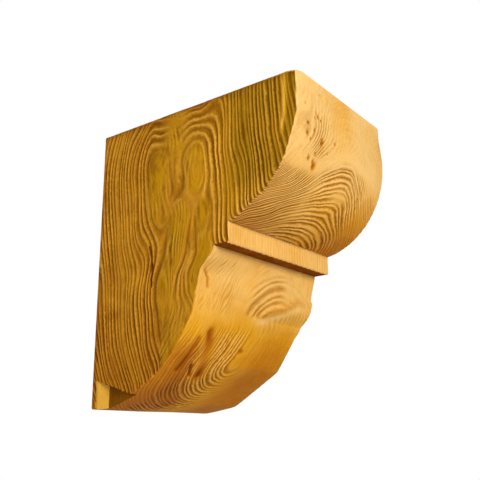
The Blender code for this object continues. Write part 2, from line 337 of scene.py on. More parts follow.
def to_segment(a, b, start, end, squeeze):
    """Distance in mm from a segment, with the second direction squeezed."""
    first = np.array([start[0], start[1] * squeeze])
    span = np.array([end[0], end[1] * squeeze]) - first
    away = np.stack([a - first[0], b * squeeze - first[1]])
    share = np.clip((away[0] * span[0] + away[1] * span[1]) / (span @ span), 0.0, 1.0)
    return np.hypot(away[0] - share * span[0], away[1] - share * span[1])


def soft_least(distances, blend):
    """The least of several distances, with their seams rounded off."""
    return -blend * np.log(sum(np.exp(-distance / blend) for distance in distances))


def swirl(a, b, scale, seed):
    """Slow waves that never repeat, between -1 and 1."""
    draw = np.random.default_rng(seed)
    total = np.zeros_like(a)
    for i in range(6):
        heading = draw.uniform(0, 2 * math.pi)
        wave = scale * draw.uniform(0.7, 1.6)
        phase = draw.uniform(0, 2 * math.pi)
        total += np.sin((a * math.cos(heading) + b * math.sin(heading)) / wave + phase)
    return total / 3


# Heart lines of the growth rings on the left side, as (out, up) in mm
WHORL = ((137, 222), (134, 242))
PATCH = ((90, 196), (84, 246))
EYE = ((147, 184), (151, 90))
ISLAND = ((96, 30), (97, 60), (104, 118), (117, 184))
CRACK = ((74, 160), (78, 148), (80, 136), (82, 117))
# Heart line of the rings on the right side
RIGHT_HEART = ((104, 60), (118, 250))
# Rings counted at a distance in mm from a heart line
RING_COUNTS = ((0, 0), (9, 1), (16.5, 2), (24, 3), (31, 4), (200, 39))
SIDE_PITCH = (200 - 31) / (39 - 4)
FIBRE_PITCH = 6.4
# The strip beside the nose where the side is paler
PALE_STRIP = ((240, 210), (246, 310))
# Soft spots of the left side, as (middle, reach) out and up in mm and a strength
CALM_SPOT = (104, 16, 186, 16, 1.0)
ROUGH_SPOTS = ((111, 12, 214, 22, 1.0), (100, 18, 130, 30, 0.5))
DARK_SPOTS = ((19, 8, 143, 20, 0.5), (27, 13, 94, 5, 0.4))

# Heart line of the knot on the lower lobe, as (x, down) in mm, and the rings around it
KNOT = ((17, 78), (8, 118))
KNOT_COUNTS = ((0, 0), (11, 1), (16, 2), (21.5, 3), (27, 4), (32.5, 5), (60, 11), (200, 45))
# The split beside the knot, its fork and slit, and the scratches at the left edge
SPLIT = ((-56, 85), (-48, 97), (-34, 136))
FORK = ((-66, 92), (-69, 132))
SLIT = ((-55, 124), (-46, 138))
SCRATCH = ((-82, 22), (-76, 30), (-75, 39))
DARK_BAND = ((-70, 118), (-50, 160), (-25, 195))
# Arches of the upper lobe counted at a height under their bow in mm
ARCH_COUNTS = ((-40, -31), (40, -8), (76, 0), (110, 6), (200, 20))
# Where the arches begin on the upper lobe, as (x, down) in mm
FAN = ((-88, 89), (-50, 88), (-30, 83), (-18, 75), (0, 66), (22, 62), (50, 70), (88, 90))
# Middle of the bowed lines under the shoulder and the ledge that cuts them off, as (x, down) in mm
BOW = (34, 62)
BOW_LEDGE = ((18, 60), (60, 38))
# Soft spots of the front, as (middle, reach) across and down in mm and a strength
ARCH_CALM = (17, 15, 104, 8, 0.85)
SWIRL_SPOT = (-46, 22, 56, 28, 1.0)
NOSE_GOLD = (-2, 24, 20, 40, 0.55)
KNOT_DOT = (5, 2.8, 100, 2.4, 1.0)
PALE_SPOT = (-46, 6, 132, 12, 0.3)
GOLD_SPOT = (-44, 9, 138, 14, 0.9)
# Pits of the upper lobe, as (x, down, size) in mm
PITS = (
    (-54.0, 35.0, 1.5),
    (-51.0, 38.0, 1.7),
    (-46.0, 40.0, 1.5),
    (-57.0, 41.0, 1.2),
    (-68.5, 50.0, 1.9),
    (-68.0, 59.5, 1.4),
    (-58.0, 54.0, 1.3),
    (-62.0, 64.0, 1.2),
    (-41.0, 61.0, 2.9),
    (-49.0, 75.0, 1.4),
    (-58.0, 81.5, 1.7),
    (-46.5, 86.5, 2.9),
    (-50.0, 83.0, 1.5),
    (-19.0, 55.0, 1.5),
    (-30.0, 69.0, 1.0),
    (-74.0, 32.0, 1.0),
    (-47.0, 14.0, 0.9),
)


# Stain of the plain parts, with the soffit painted dark as shade, and the painted shade that darkens
# the side edges of the top
PLAIN_STAINS_AND_SHADE = {SEAT: 0.3, TOP: 0.5, FILLET: 0.0, SOFFIT: 0.95}
SHADED_EDGE_X = (HALF - 0.005, HALF - 0.001)
SHADED_EDGE_OUT = (0.245, 0.225)


def spots(a, b, *places):
    """Sum of soft spots, each a middle and a reach both ways and a strength."""
    return sum(much * bell(a, x, wide) * bell(b, y, high) for x, wide, y, high, much in places)


def most(*values):
    """The largest of several values at each point."""
    return np.maximum.reduce(values)


def limited(rings, show, fibres, faint, stain, gold, cut, least=0.0):
    """The seven grain values within their limits: rings and fibres with how clearly each show,
    stain, gold and depth cut. The stain also carries painted shade in places. A stain below 0
    turns pale, and one above 1 goes over into the colour of the grooves."""
    show, faint, gold = (np.clip(value, 0, 1) for value in (show, faint, gold))
    return rings, show, fibres, faint, np.clip(stain, least, 2), gold, cut


def vary(rings):
    """Rings of good and bad years: some lie closer together than others."""
    return rings + 0.14 * np.sin(1.95 * rings) + 0.08 * np.sin(2.95 * rings + 1)


def outline_up(out):
    """Height in metres of the lower edge of a side, at a distance out."""
    lobe = LOBE[1] - np.sqrt(np.maximum(0.0, UPPER_RADIUS**2 - (out - LOBE[0]) ** 2))
    foot = LOWER[1] - np.sqrt(np.maximum(0.0, LOWER_RADIUS**2 - (out - LOWER[0]) ** 2))
    return np.where(out > FILLET_OUT, lobe, np.where(out > RECESS_OUT, RECESS_UP, foot))


def to_line(a, b, line):
    """Distance in mm from a line of points."""
    nearest = np.full_like(a, 1e3)
    for start, end in zip(line, line[1:]):
        nearest = np.minimum(nearest, to_segment(a, b, start, end, 1.0))
    return nearest


def near_line(a, b, line, width):
    """1 on a line of points, falling away over a width."""
    return np.exp(-((to_line(a, b, line) / width) ** 2))


def left_rings(a, b):
    """Growth rings of the left side, and the distances in mm from its calm patches."""
    right = np.maximum(0.0, a - WHORL[0][0])
    share = 0.25 + 0.75 * bell(right, 0, 28)
    above = 0.8 * share * np.maximum(0.0, b - WHORL[1][1])
    under = 0.62 * np.maximum(0.0, WHORL[0][1] - b)
    whorl = np.hypot(a - place_on(WHORL, b), above + under) + 0.12 * np.maximum(0.0, right - 25)
    patch = to_segment(a, b, *PATCH, 0.7)
    eye = to_segment(a, b, *EYE, 0.7)
    beside = a - place_on(ISLAND, b)
    left_shift = 27 * (np.maximum(0.0, 130 - b) / 100) ** 2
    right_shift = 25 * (np.maximum(0.0, 108 - b) / 62) ** 2
    away = np.abs(beside) + np.where(beside < 0, left_shift, right_shift)
    island = np.hypot(away, 0.8 * np.maximum(0.0, b - ISLAND[-1][1]))
    rings = soft_least([whorl, patch + 3, island + 2, eye + 8], 6.0)
    # Near the lower edge the lines hook outwards
    hook = 4.0 * np.exp(-np.maximum(0.0, b - outline_up(a * MM) / MM) / 4.5)
    rings = read(RING_COUNTS, rings - hook) + 0.22 * swirl(a, b * 0.22, 3.4, 4)
    return vary(rings), patch, np.minimum(eye, 0.75 * whorl), island, beside


def left_grain(out, up):
    """The grain of the left side, with its whorl, its calm patches and its crack, in mm."""
    b = up / MM
    loose = bell(out / MM, 106, 24) * smooth(b, 165, 190)
    a = out / MM + 0.9 * swirl(out / MM, b * 0.35, 9, 3)
    a = a + 1.2 * loose * swirl(a, b, 7, 2)
    b = b + 1.6 * loose * swirl(a, b, 8, 1)
    rings, patch, eye, island, beside = left_rings(a, b)
    slope = np.hypot(left_rings(a + 1, b)[0] - rings, left_rings(a, b + 1)[0] - rings)
    calm = most(
        smooth(patch, 17, 9),
        smooth(island, 16, 9) * smooth(b, 55, 90),
        smooth(eye, 12, 6),
        0.8 * smooth(beside, -4, 5) * smooth(b, 115, 85),
        bell(a, 105, 17) * smooth(b, 238, 256),
        spots(a, b, CALM_SPOT),
    )
    rough = spots(a, b, *ROUGH_SPOTS)
    olive = smooth(a, 150, 188) * smooth(b, 150, 195)
    worn = bell(a, place_on(PALE_STRIP, b), 3) * smooth(b, 228, 250)
    crack = near_line(out / MM, up / MM, CRACK, 1.3)
    show = (1 - calm) * (0.85 + 0.3 * swirl(a, b * 0.5, 9, 5)) * smooth(slope, 0.02, 0.07)
    show = show * (0.85 + 0.25 * np.sin(1.9 * rings + 1.3 * np.sin(0.7 * rings)))
    show = show * (1 - 0.7 * worn) * (1 - 0.2 * olive)
    fibres = a / FIBRE_PITCH + 1.1 * swirl(a, b * 0.5, 6, 7)
    faint = calm * np.clip(0.12 + 0.25 * swirl(a, b, 6, 9) + 0.6 * rough, 0, 1)
    golden = calm * (0.75 + 0.5 * swirl(a, b, 8, 8) - 0.6 * rough)
    gold = most(golden, bell(eye, 0, 9), 0.95 * olive)
    stain = 0.22 + 0.16 * swirl(a, b * 0.6, 15, 6) + spots(a, b, *DARK_SPOTS) + 0.25 * rough
    stain += 0.7 * smooth(a, 165, 200) * smooth(b, 175, 215)
    stain += 0.5 * bell(patch, 8, 5) * bell(b, 262, 14)
    stain += 0.35 * smooth(b, 150, 50) * (1 - calm)
    # Painted shade along the top edge; darker at the wall and at the nose, dark in the crack, and
    # paler along the strip beside the nose
    stain += 0.8 * bell(b, 301, 6) + 0.6 * smooth(a, 5, 1) + 1.7 * crack - 1.7 * worn
    stain += 0.25 * smooth(a, 245, 249) * smooth(b, 228, 250)
    return limited(rings, show, fibres, faint, stain, gold, CRACK_DEPTH * crack, least=-1)


def right_grain(out, up):
    """The plainer grain of the right side, in mm."""
    b = up / MM
    a = out / MM + 1.2 * swirl(out / MM, b * 0.35, 10, 13)
    heart = to_segment(a, b, *RIGHT_HEART, 0.55)
    rings = vary(read(RING_COUNTS, heart) + 0.2 * swirl(a, b * 0.22, 3.6, 14))
    calm = smooth(heart, 15, 8)
    show = (1 - 0.85 * calm) * (0.82 + 0.25 * swirl(a, b, 14, 15))
    fibres = a / FIBRE_PITCH + 0.8 * swirl(a, b * 0.4, 7, 18)
    stain = 0.35 + 0.2 * swirl(a, b * 0.6, 17, 16)
    gold = 0.6 * calm * (0.6 + 0.5 * swirl(a, b, 9, 17))
    return limited(rings, show, fibres, 0.3 * calm, stain, gold, 0 * a)


def upper_grain(x, down):
    """Arches, calm wood and pits on the nose and the upper lobe, across and down in mm."""
    b = down / MM
    a = x / MM + 0.8 * swirl(x / MM, b, 8, 24)
    away = a - 20 + 14 * smooth(b, 104, 140)
    bow = np.where(away < 0, 56.0, 54 - 8 * smooth(b, 100, 140))
    steep = np.hypot(1.15 * away, 12) - 12
    bend = away**2 / (2 * bow)
    bend = np.where(away > 0, bend + (steep - bend) * smooth(b, 150, 105), bend)
    lift = b - bend + 0.9 * swirl(a, b, 15, 21)
    rings = vary(read(ARCH_COUNTS, lift) + 0.08 * swirl(a, b, 3.2, 25))
    past = b - read(FAN, a) - 2 * swirl(a, b, 6, 27)
    fan = smooth(past, 0, 12)
    left = smooth(a, -20, -48)
    show = fan * (1 - left) * (1 - 0.55 * smooth(a, 44, 60)) * (0.9 + 0.2 * swirl(a, b, 9, 26))
    show = show * (1 - spots(a, b, ARCH_CALM))
    # Above the arches faint fibres flow around the pits
    flow = (0.9 * a + 0.3 * b + 9 * swirl(a, b, 8, 23)) / 5.6
    quiet = spots(a, b, SWIRL_SPOT) * (0.5 + 0.4 * swirl(a, b, 6, 28)) + 0.10
    quiet = quiet * smooth(past, -3, -14) * smooth(b, 2, 20)
    fibres = np.where(past < -1.5, flow, rings)
    faint = np.where(past < -1.5, quiet, 0.95 * fan * left)
    pits = np.zeros_like(a)
    for middle, drop, size in PITS:
        stretch = 1 + 0.35 * math.sin(7 * middle)
        pits = np.maximum(pits, bell(a, middle, size) * bell(b, drop, size * stretch))
    stain = 0.04 + 0.16 * smooth(b, 80, 165) + 0.60 * smooth(a, 10, 70) * smooth(b, 75, 150)
    stain += 0.35 * smooth(a, -40, -80) * smooth(b, 125, 160)
    stain += 0.10 * swirl(a, b * 0.5, 15, 22) + 1.9 * pits
    gold = spots(a, b, NOSE_GOLD) + smooth(b, 62, 130) * (0.45 + 0.45 * smooth(a, -30, 30))
    return limited(rings, show, fibres, faint, stain, gold, PIT_DEPTH * pits)


def lower_grain(x, down):
    """Rings around the knot on the lower lobe, bowed lines over the ledge and the split, in mm."""
    b = down / MM
    a = x / MM + 0.8 * swirl(x / MM, b, 9, 34)
    above = 0.55 * np.maximum(0.0, KNOT[0][1] - b)
    under = 0.95 * np.maximum(0.0, b - KNOT[1][1])
    beside = np.abs(a - place_on(KNOT, b)) - 8 * smooth(b, KNOT[0][1], KNOT[0][1] - 35)
    heart = np.hypot(np.maximum(0.0, beside), above + under) + 1.0 * swirl(a, b, 15, 31)
    rings = vary(read(KNOT_COUNTS, heart) + 0.08 * swirl(a, b, 3.2, 35))
    show = smooth(a, 24, -2) * smooth(b, 66, 100) * smooth(heart, 5, 11)
    show = most(show * (0.9 + 0.2 * swirl(a, b, 9, 37)), 0.10 * smooth(b, 60, 80))
    show = show * (1 - 0.85 * near_line(a, b, SPLIT, 9)) * (1 - 0.65 * smooth(a, -52, -70))
    # Bowed lines over the ledge, rays under it and upright fibres to the left of both
    past = b - read(BOW_LEDGE, a)
    bowed = np.hypot(0.85 * (a - BOW[0]), 1.15 * (BOW[1] - b)) + 2.5 * swirl(a, b, 11, 39)
    over = 0.62 * smooth(past, 3, -3) * smooth(bowed, 12, 20) * smooth(bowed, 66, 48)
    over = over * smooth(a, -20, -10) * smooth(b, 3, 12) * (1 - 0.8 * smooth(a, 24, 42))
    rays = (a - 0.45 * b) / 7.0 + 0.3 * swirl(a, b * 0.3, 8, 40)
    ray = 0.28 * smooth(past, 3, 6) * smooth(past, 28, 12) * smooth(a, 12, 24)
    fibre = (a + 0.3 * b + 1.6 * swirl(a, b * 0.3, 2.6, 38)) / 3.6
    upright = 0.22 * (1 + swirl(a, b, 7, 42)) * smooth(a, -22, -40)
    upright = upright * smooth(b, 75, 50) * smooth(b, 3, 12)
    areas = [a < -21, (past > 0) & (a > 6)]
    fibres = np.select(areas, [fibre, rays], vary(bowed / 8.6))
    faint = np.select(areas, [upright, ray], over)
    split = near_line(a, b, SPLIT, 5.4) * (0.78 + 0.45 * swirl(a, b * 0.2, 2.2, 33))
    tear = most(split, 0.5 * near_line(a, b, FORK, 2.4), near_line(a, b, SLIT, 1.8))
    tear = np.clip(tear, 0, 1)
    knot = spots(a, b, KNOT_DOT)
    scratch = near_line(a, b, SCRATCH, 1.5)
    along = smooth(a, -8, 14) * smooth(a, 80, 58)
    stain = 0.06 + 0.3 * smooth(b, 60, 150) + 0.5 * smooth(a, -10, 55) * smooth(b, 58, 110)
    stain += 0.3 * smooth(b, 130, 185) * smooth(a, 10, -40)
    stain += 0.5 * near_line(a, b, DARK_BAND, 15) - spots(a, b, PALE_SPOT)
    stain += 0.4 * smooth(a, -42, -62) * smooth(b, 82, 108)
    stain += 0.08 * swirl(a, b * 0.6, 14, 32) + 1.8 * tear + 1.3 * knot + 0.9 * scratch
    # Painted shade just above the ledge and a painted highlight on its lit lip just below, where the
    # gold is also lessened
    stain += (0.4 * bell(past, -5, 5) - 0.3 * bell(past, 3, 3)) * along
    gold = spots(a, b, GOLD_SPOT) + 0.3 + 0.7 * smooth(b, 20, 90) - 0.5 * bell(past, 4, 4) * along
    cut = SPLIT_DEPTH * np.clip(tear + 0.4 * knot + 0.5 * scratch, 0, 1)
    return limited(rings, show, fibres, faint, stain, gold, cut)


def plain_grain(x, out, part):
    """The faint upright grain of the top and the fillet, with painted shade along the side edges of
    the top, and the soffit painted evenly dark as shade.
    """
    none = np.zeros_like(x)
    stain = none + PLAIN_STAINS_AND_SHADE[part]
    if part == TOP:
        # Painted shade along the side edges of the top
        stain += smooth(np.abs(x), *SHADED_EDGE_X) * smooth(out, *SHADED_EDGE_OUT)
    # The soffit takes the groove colour all over as painted shade
    if part == SOFFIT:
        rings, show = none, none + 1.0
    else:
        rings, show = x / MM / 4.4 + 0.5 * swirl(x / MM, none, 7, 41), none + 0.18
    return limited(rings, show, rings, none, stain, none + 0.35, none)


class Casting:
    """Gathers the points and faces of the fine body, with the grain values of each."""

    def __init__(self):
        self.blocks = []
        self.faces = []
        self.regions = []
        self.parts = []
        self.count = 0

    def add(self, x, out, up, down, edge):
        """Takes a block of points and returns the index of each."""
        shape = np.shape(x)
        index = np.arange(self.count, self.count + x.size).reshape(shape)
        self.blocks.append([np.ravel(v) for v in (x, out, up, down, edge)])
        self.count += x.size
        return index

    def face(self, corners, region, part):
        """Takes one face."""
        self.faces.append([int(corner) for corner in corners])
        self.regions.append(region)
        self.parts.append(part)


def add_strips(cast, loop, parts):
    """The front, the rounded side edges and the edges of the top; returns the index of each
    point by row and column."""
    lengths = np.concatenate([[0.0], np.cumsum(np.linalg.norm(np.diff(loop, axis=0), axis=1))])
    down = lengths.copy()
    for part in (UPPER, FILLET, SOFFIT, LOBE_FOOT):
        start = int(np.argmax(parts == part))
        down[start:] = lengths[start:] - lengths[start]
    turns = np.arange(EDGE_COLUMNS) / EDGE_COLUMNS * math.pi / 2
    edge_x = HALF - SIDE_ROUND + SIDE_ROUND * np.cos(turns)
    edge_in = SIDE_ROUND * (1 - np.sin(turns))
    inner = np.linspace(-(HALF - SIDE_ROUND), HALF - SIDE_ROUND, FRONT_COLUMNS + 1)
    columns = np.concatenate([-edge_x, inner, edge_x[::-1]])
    depth = np.concatenate([edge_in, np.zeros(len(inner)), edge_in[::-1]])
    share = np.concatenate([np.cos(turns), np.zeros(len(inner)), np.cos(turns)[::-1]])
    first = int(np.argmax(parts != TOP))
    mitre = inward(loop)
    index = np.full((len(loop), len(columns)), -1)
    left, right = EDGE_COLUMNS, EDGE_COLUMNS + FRONT_COLUMNS
    for row in range(len(loop)):
        shown = np.ones(len(columns), bool)
        if row < first:
            shown[left + 1 : right] = False
        place = loop[row] + mitre[row] * depth[shown, None]
        wide = np.full(shown.sum(), down[row])
        index[row, shown] = cast.add(columns[shown], place[:, 0], place[:, 1], wide, share[shown])
    for row in range(len(loop) - 1):
        for column in range(len(columns) - 1):
            if row < first and left <= column < right:
                continue
            ring = (
                index[row, column],
                index[row + 1, column],
                index[row + 1, column + 1],
                index[row, column + 1],
            )
            cast.face(ring, FRONT, parts[row])
    cap = list(index[: first + 1, left]) + list(index[first, left + 1 : right])
    cap += list(index[first::-1, right])
    cast.face(cap, FRONT, SEAT)
    return index


def add_side(cast, index, sign, cell):
    """One flat side, filled inside its outline with fine cells; returns its points at the wall."""
    column = 0 if sign < 0 else -1
    rim = index[:, column]
    block = np.concatenate([np.stack(b, 1) for b in cast.blocks])
    outline = block[rim, 1:3]
    low, high = outline[-1, 1], outline[0, 1]
    steps = round((high - low) / BACK_STEP)
    wall_up = low + (high - low) * np.arange(1, steps) / steps
    wall = np.stack([np.zeros(len(wall_up)), wall_up], 1)
    border = np.vstack([outline, wall])
    grid_out = np.arange(cell[0], PROJECTION, cell[0])
    grid_up = np.arange(cell[1], HEIGHT, cell[1])
    a, b = np.meshgrid(grid_out, grid_up)
    a = a + np.where(np.arange(len(grid_up)) % 2, cell[0] / 2, 0.0)[:, None]
    inside = np.stack([a.ravel(), b.ravel()], 1)
    limit = np.interp(inside[:, 1], outline[::-1, 1], outline[::-1, 0])
    inside = inside[inside[:, 0] < limit]
    ends = np.roll(border, -1, axis=0)
    near = np.full(len(inside), 1.0)
    for start, end in zip(border, ends):
        span = end - start
        away = inside - start
        share = np.clip(away @ span / (span @ span), 0, 1)
        near = np.minimum(near, np.linalg.norm(away - share[:, None] * span, axis=1))
    inside = inside[near > CLEAR * cell[0]]
    fresh = np.vstack([wall, inside])
    flat = np.zeros(len(fresh))
    made = cast.add(flat + sign * HALF, fresh[:, 0], fresh[:, 1], flat, flat + 1.0)
    known = np.concatenate([rim, made])
    points = [Vector((p[0], p[1] * CELL_SQUEEZE)) for p in np.vstack([border, inside])]
    count = len(border)
    edges = [(i, (i + 1) % count) for i in range(count)]
    result = delaunay_2d_cdt(points, edges, [list(range(count))], 1, 1e-9)
    source = [known[origin[0]] for origin in result[3]]
    for triangle in result[2]:
        cast.face([source[i] for i in triangle], SIDE, LEFT_SIDE if sign < 0 else RIGHT_SIDE)
    return made[: len(wall)]


def grain_values(block, part):
    """Grain of one part of the surface at every point, whether it belongs there or not."""
    x, out, up, down = block.T[:4]
    if part == LEFT_SIDE:
        return left_grain(out, up)
    if part == RIGHT_SIDE:
        return right_grain(out, up)
    if part == UPPER:
        return upper_grain(x, down)
    if part == LOBE_FOOT:
        return lower_grain(x, down)
    return plain_grain(x, out, part)


def fine_body():
    """The closed fine mesh with its uneven form, carrying the grain as attributes."""
    cast = Casting()
    loop, parts = loop_points()
    index = add_strips(cast, loop, parts)
    left_wall = add_side(cast, index, -1, LEFT_CELL)
    right_wall = add_side(cast, index, 1, RIGHT_CELL)
    top_row = [i for i in index[0] if i >= 0]
    back = top_row + list(right_wall[::-1]) + list(index[-1, ::-1]) + list(left_wall)
    cast.face(back, BACK, WALL_FACE)
    block = np.concatenate([np.stack(b, 1) for b in cast.blocks])
    x, out, up, down, edge = block.T
    sides = {part: grain_values(block, part) for part in (LEFT_SIDE, RIGHT_SIDE)}
    fronts = {part: grain_values(block, part) for part in range(TOP, LEFT_SIDE)}
    side = [np.where(x < 0, a, b) for a, b in zip(sides[LEFT_SIDE], sides[RIGHT_SIDE])]
    at_wall = smooth(out, 0.0, WALL_FADE)
    cut = side[6] * edge * at_wall
    placed_out, placed_up = settle(x, out, up)
    towards = np.where(x < 0, 1.0, -1.0)
    # Pits and splits of the front are cut towards the axis of the lobe
    front_cut = np.zeros_like(x)
    rows = {}
    for row, part in enumerate(parts):
        rows.setdefault(part, []).append(row)
    for part in (UPPER, LOBE_FOOT):
        used = index[rows[part]]
        used = used[used >= 0]
        front_cut[used] = fronts[part][6][used] * (1 - edge[used])
    mitre = inward(loop)
    normal = np.zeros((len(x), 2))
    for row in range(len(loop)):
        used = index[row][index[row] >= 0]
        normal[used] = mitre[row] / np.linalg.norm(mitre[row])
    placed_out = placed_out + front_cut * normal[:, 0]
    placed_up = placed_up + front_cut * normal[:, 1]
    mesh = bpy.data.meshes.new("fine_body")
    spots = np.stack([x + towards * cut, -placed_out, placed_up - TOP_Z], 1)
    mesh.from_pydata(spots.tolist(), [], cast.faces)
    corner_points = np.concatenate([np.array(face) for face in cast.faces])
    sizes = np.array([len(face) for face in cast.faces])
    corner_parts = np.repeat(cast.parts, sizes)
    names = ("front_rings", "front_show", "fibre_rings", "fibre_show", "stain", "gold")
    picked = {name: np.zeros(len(corner_points)) for name in names}
    for part, values in list(fronts.items()) + list(sides.items()):
        here = corner_parts == part
        spot = corner_points[here]
        for name, value in zip(names, values):
            if part in fronts or name not in names[:2]:
                picked[name][here] = value[spot]
    write(mesh, "side_rings", side[0][corner_points])
    write(mesh, "side_show", side[1][corner_points])
    for name, values in picked.items():
        write(mesh, name, values)
    sink = np.zeros((len(x), 3))
    sink[:, 0] = towards * edge * at_wall * side[1]
    write_vectors(mesh, "side_in", sink[corner_points])
    face_on = (1 - edge) * smooth(HALF - np.abs(x), 0, EDGE_FADE)
    sink = np.stack([np.zeros(len(x)), -normal[:, 0] * face_on, normal[:, 1] * face_on], 1)
    shown = picked["front_show"][:, None] * smooth(up, 0.0, WALL_FADE)[corner_points][:, None]
    write_vectors(mesh, "front_in", sink[corner_points] * shown)
    region = mesh.attributes.new("region", "INT", "FACE")
    region.data.foreach_set("value", np.array(cast.regions, np.int32))
    return mesh


def write(mesh, name, values):
    """Stores one number for each face corner."""
    attribute = mesh.attributes.new(name, "FLOAT", "CORNER")
    attribute.data.foreach_set("value", values.astype(np.float32))


def write_vectors(mesh, name, values):
    """Stores one direction for each face corner."""
    attribute = mesh.attributes.new(name, "FLOAT_VECTOR", "CORNER")
    attribute.data.foreach_set("vector", values.astype(np.float32).ravel())


def point_outwards(mesh):
    """Turns all faces of a closed mesh outwards."""
    solid = bmesh.new()
    solid.from_mesh(mesh)
    bmesh.ops.recalc_face_normals(solid, faces=solid.faces)
    solid.to_mesh(mesh)
    solid.free()


def notch_wedge():
    """The wedge that takes the notch out of the left side, with a jagged roof."""
    outside = -HALF - CUTTER_MARGIN
    floor = -HALF + NOTCH_DEPTH
    low = -TOP_Z - CUTTER_MARGIN
    points = []
    ramp_end = NOTCH_OUT + NOTCH_RAMP
    stations = sorted({ramp_end, *np.linspace(NOTCH_OUT, NOTCH_LENGTH, NOTCH_STATIONS).tolist()})
    for out in stations:
        inner = np.interp(out, (NOTCH_OUT, ramp_end), (-HALF, floor))
        jag = NOTCH_JAGS * math.sin(out / MM * 1.45) * math.sin(out / MM * 0.53 + 1)
        high = NOTCH_UP - TOP_Z + NOTCH_SLOPE * (out - NOTCH_OUT) + jag
        points += [(outside, -out, low), (inner, -out, low), (inner, -out, high)]
        points.append((outside, -out, high))
    last = len(points) - 4
    faces = [(0, 1, 2, 3), (last + 3, last + 2, last + 1, last)]
    for start in range(0, last, 4):
        for i in range(4):
            j = (i + 1) % 4
            faces.append((start + i, start + 4 + i, start + 4 + j, start + j))
    mesh = bpy.data.meshes.new("notch_wedge")
    mesh.from_pydata(points, [], faces)
    point_outwards(mesh)
    corners = [mesh.vertices[loop.vertex_index].co for loop in mesh.loops]
    lines = np.array([-corner.y / MM / SIDE_PITCH for corner in corners])
    # Painted light on the ramp, with a painted highlight line across it, and painted shade on the
    # floor and the roof
    painted_ramp_light, painted_floor_shade, roof = NOTCH_PAINTED_LIGHT_AND_SHADE
    stain = np.full(len(corners), painted_floor_shade)
    rings = np.zeros(len(corners))
    for face in mesh.polygons:
        if face.normal.z > 0.5:
            stain[face.loop_indices] = roof
        elif abs(face.normal.x) > 0.3 and abs(face.normal.y) > 0.3:
            stain[face.loop_indices] = painted_ramp_light
            rings[face.loop_indices] = HIGHLIGHT_PHASE
    write(mesh, "side_rings", rings)
    write(mesh, "side_show", rings * 0 + 0.85)
    write(mesh, "fibre_rings", lines)
    write(mesh, "fibre_show", rings * 0 + 0.1)
    write(mesh, "stain", stain)
    write(mesh, "gold", rings * 0 + 0.4)
    return mesh


def socket(node, name):
    """The identifier of a named input of a node group."""
    for item in node.interface.items_tree:
        if item.item_type == "SOCKET" and item.in_out == "INPUT" and item.name == name:
            return item.identifier
    raise ValueError(f"no input named {name}")


class Wires:
    """Makes nodes and links in a tree with few words."""

    def __init__(self, tree):
        self.tree = tree
        self.nodes = tree.nodes

    def add(self, kind, inputs=None, **settings):
        """A node with its settings, with values or other sockets put into its inputs."""
        node = self.nodes.new(kind)
        for key, value in settings.items():
            setattr(node, key, value)
        for key, value in (inputs or {}).items():
            if isinstance(value, bpy.types.NodeSocket):
                self.tree.links.new(value, node.inputs[key])
            else:
                node.inputs[key].default_value = value
        return node

    def math(self, operation, first, second=None, clamp=False):
        """The result of one sum."""
        kind = "ShaderNodeMath"
        inputs = {0: first} if second is None else {0: first, 1: second}
        return self.add(kind, inputs, operation=operation, use_clamp=clamp).outputs[0]

    def join(self, operation, values, clamp):
        """Several values joined by one kind of sum, the last of which may be clamped."""
        total = values[0]
        for number, value in enumerate(values[1:], 2):
            total = self.math(operation, total, value, clamp and number == len(values))
        return total

    def plus(self, *values, clamp=False):
        """The sum of several values."""
        return self.join("ADD", values, clamp)

    def times(self, *values, clamp=False):
        """The product of several values."""
        return self.join("MULTIPLY", values, clamp)

    def less(self, first, second, clamp=False):
        """The first value less the second."""
        return self.math("SUBTRACT", first, second, clamp)

    def noise(self, place, scale, detail):
        """Noise of one scale, between -0.5 and 0.5."""
        inputs = {"Vector": place, "Scale": scale, "Detail": detail}
        made = self.add("ShaderNodeTexNoise", inputs).outputs["Fac"]
        return self.less(made, 0.5)

    def mix(self, share, first, second, blend="MIX"):
        """Two colours mixed by a share."""
        inputs = {"Factor": share, 6: first, 7: second}
        made = self.add("ShaderNodeMix", inputs, data_type="RGBA", blend_type=blend)
        return made.outputs[2]


def ridge_shape(wires, rings, sharpness):
    """1 in the bottom of each groove and 0 on the crests."""
    wave = wires.math("COSINE", wires.times(rings, 2 * math.pi))
    share = wires.times(wires.plus(wave, 1.0), 0.5)
    return wires.math("POWER", share, sharpness)


